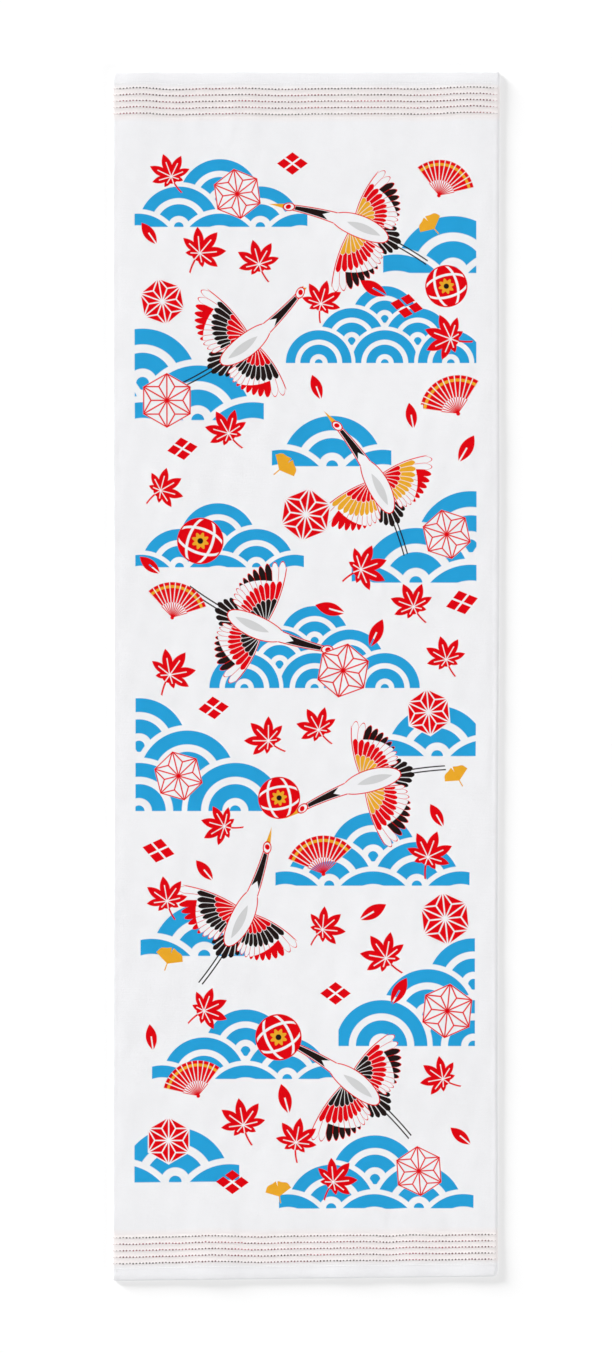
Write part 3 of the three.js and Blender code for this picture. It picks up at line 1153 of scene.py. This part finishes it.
class TOWEL_OT_cloth(TowelStep, bpy.types.Operator):
    """Weave, hem and print the towel's cloth"""

    bl_idname = "towel.cloth"
    bl_label = "Printed Cloth"

    def execute(self, context):
        sizes, colours = context.scene.towel_sizes, context.scene.towel_colours
        cloth = Cloth(sizes)
        points, faces, places, is_under = cloth_faces(cloth)
        mesh = bpy.data.meshes.new("printed_cloth")
        mesh.from_pydata(points * MM, [], faces)
        mesh.shade_smooth()
        add_map(mesh, "cloth", places)
        add_map(mesh, "OFBake", finish_map(places, is_under, cloth))
        add_print(mesh, "waves", WAVES, wave_reach, places)
        add_print(mesh, "cranes", CRANES, lambda motif: CRANE_REACH, places)
        sprigs = [Motif(SPRIG_KINDS[kind], *row) for kind, rows in SPRIGS.items() for row in rows]
        add_print(mesh, "sprigs", sprigs, lambda motif: SPRIG_REACH, places)
        mesh.update()
        mesh.materials.append(cloth_material(sizes, colours))
        piece = new_object("printed_cloth", mesh)
        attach(piece, BODY)
        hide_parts("towel_cloth")
        return {"FINISHED"}


class TOWEL_OT_border_yarn(TowelStep, bpy.types.Operator):
    """Lay the coloured floats along the ribs of both borders"""

    bl_idname = "towel.border_yarn"
    bl_label = "Border Yarn"

    def execute(self, context):
        sizes = context.scene.towel_sizes
        cloth = Cloth(sizes)
        material = yarn_material(sizes, context.scene.towel_colours)
        rng = np.random.default_rng(7)
        for end, name in ((1, "border_yarn_far"), (-1, "border_yarn_near")):
            laid = []
            for rib in range(RIB_COUNT):
                y = end * (cloth.length / 2 - FIRST_RIB_DEPTH - rib * RIB_PITCH)
                start = -cloth.width / 2 + 1.2 + 0.5 * rng.random()
                x, here, ahead = line_places(cloth, start, sizes.yarn_pitch / MM, y)
                # Each float is a little different, and smaller within 7 mm of a selvedge.
                for point, way, inset in zip(here, ahead, cloth.inset(x)):
                    size = np.clip(inset / 7, 0.62, 1) * rng.uniform(0.84, 1.12, 3)
                    offset = rng.normal(0, (0.1, 0.1, 0.0)) * MM
                    laid.append(Laid(point + offset, way, size, rng.normal(0, 0.07)))
            yarn = sizes.yarn_length, sizes.yarn_width, sizes.yarn_height
            template = model_float(name + "_float", *yarn)
            lay_copies(template, name, laid, material)
        return {"FINISHED"}


class TOWEL_OT_hem_stitches(TowelStep, bpy.types.Operator):
    """Sew both hems down with a row of stitches"""

    bl_idname = "towel.hem_stitches"
    bl_label = "Hem Stitches"

    def execute(self, context):
        sizes = context.scene.towel_sizes
        cloth = Cloth(sizes)
        material = thread_material(context.scene.towel_colours)
        rng = np.random.default_rng(11)
        for end, name in ((1, "hem_stitches_far"), (-1, "hem_stitches_near")):
            y = end * (cloth.length / 2 - SEAM_DEPTH)
            _, here, ahead = line_places(cloth, -cloth.width / 2 + 2.0, sizes.stitch_pitch / MM, y)
            laid = []
            for point, way in zip(here, ahead):
                point = point + rng.normal(0, (0.05, 0.06, 0)) * MM + (0, 0, 0.1 * MM)
                laid.append(Laid(point, way, rng.uniform(0.95, 1.05, 3), rng.normal(0, 0.03)))
            length = sizes.stitch_pitch * 0.86
            template = model_float(name + "_stitch", length, sizes.thread_width, sizes.thread_width)
            lay_copies(template, name, laid, material)
        return {"FINISHED"}


class TOWEL_OT_stage(TowelStep, bpy.types.Operator):
    """Set the floor, the soft lights and the camera"""

    bl_idname = "towel.stage"
    bl_label = "Stage"

    def execute(self, context):
        scene = context.scene
        stage = scene.towel_stage
        bpy.ops.object.select_all(action="DESELECT")
        bpy.ops.mesh.primitive_plane_add(size=FLOOR_SIZE, location=(0, 0, -FLOOR_GAP))
        floor = context.object
        floor.name = "floor"
        material, _, shader = new_material("pale_floor", 0.9, 0.0, 0.0)
        shader.inputs["Base Color"].default_value = (*stage.floor, 1)
        floor.data.materials.append(material)

        # The backdrop is white, and lights the towel less than it shows.
        scene.world = bpy.data.worlds.new("studio")
        scene.world.use_nodes = True
        tree = scene.world.node_tree
        background = tree.nodes["Background"]
        background.inputs["Color"].default_value = (1, 1, 1, 1)
        seen = Field(tree, tree.nodes.new("ShaderNodeLightPath").outputs["Is Camera Ray"])
        strength = seen.scaled(1 - stage.sky, stage.sky)
        tree.links.new(strength.socket, background.inputs["Strength"])

        for light in LIGHTS:
            lamp = bpy.data.lights.new(light.name, "SUN")
            lamp.energy, lamp.angle = getattr(stage, light.name), math.radians(light.spread)
            turn = (0, math.radians(90 - light.elevation), math.radians(light.bearing))
            new_object(light.name, lamp).rotation_euler = turn

        lens = bpy.data.cameras.new("camera")
        lens.lens, lens.sensor_width, lens.clip_end = CAMERA_LENS, CAMERA_SENSOR, 100
        scene.camera = new_object("camera", lens)
        scene.camera.location = (*CAMERA_MIDDLE, stage.camera_height)
        scene.view_settings.view_transform = "Standard"
        return {"FINISHED"}


OPERATORS = (TOWEL_OT_cloth, TOWEL_OT_border_yarn, TOWEL_OT_hem_stitches, TOWEL_OT_stage)
GROUPS = {"towel_sizes": TowelSizes, "towel_colours": TowelColours, "towel_stage": TowelStage}


class TOWEL_PT_panel(bpy.types.Panel):
    """The towel's steps and values, in the 3D view's sidebar"""

    bl_idname = "TOWEL_PT_panel"
    bl_label = "Sports Towel"
    bl_space_type = "VIEW_3D"
    bl_region_type = "UI"
    bl_category = "Towel"

    def draw(self, context):
        for operator in OPERATORS:
            self.layout.operator(operator.bl_idname)
        for name, group in GROUPS.items():
            values = getattr(context.scene, name)
            for key in group.__annotations__:
                self.layout.prop(values, key)


def register():
    for group in GROUPS.values():
        bpy.utils.register_class(group)
    for name, group in GROUPS.items():
        setattr(bpy.types.Scene, name, bpy.props.PointerProperty(type=group))
    for item in (*OPERATORS, TOWEL_PT_panel):
        bpy.utils.register_class(item)


def unregister():
    for item in reversed((*OPERATORS, TOWEL_PT_panel)):
        bpy.utils.unregister_class(item)
    for name in GROUPS:
        delattr(bpy.types.Scene, name)
    for group in GROUPS.values():
        bpy.utils.unregister_class(group)


def main():
    register()
    weave_group()
    yarn_group(bpy.context.scene.towel_colours)
    twist_group()
    bpy.ops.towel.cloth()
    bpy.ops.towel.border_yarn()
    bpy.ops.towel.hem_stitches()
    bpy.ops.towel.stage()


if __name__ == "__main__":
    main()
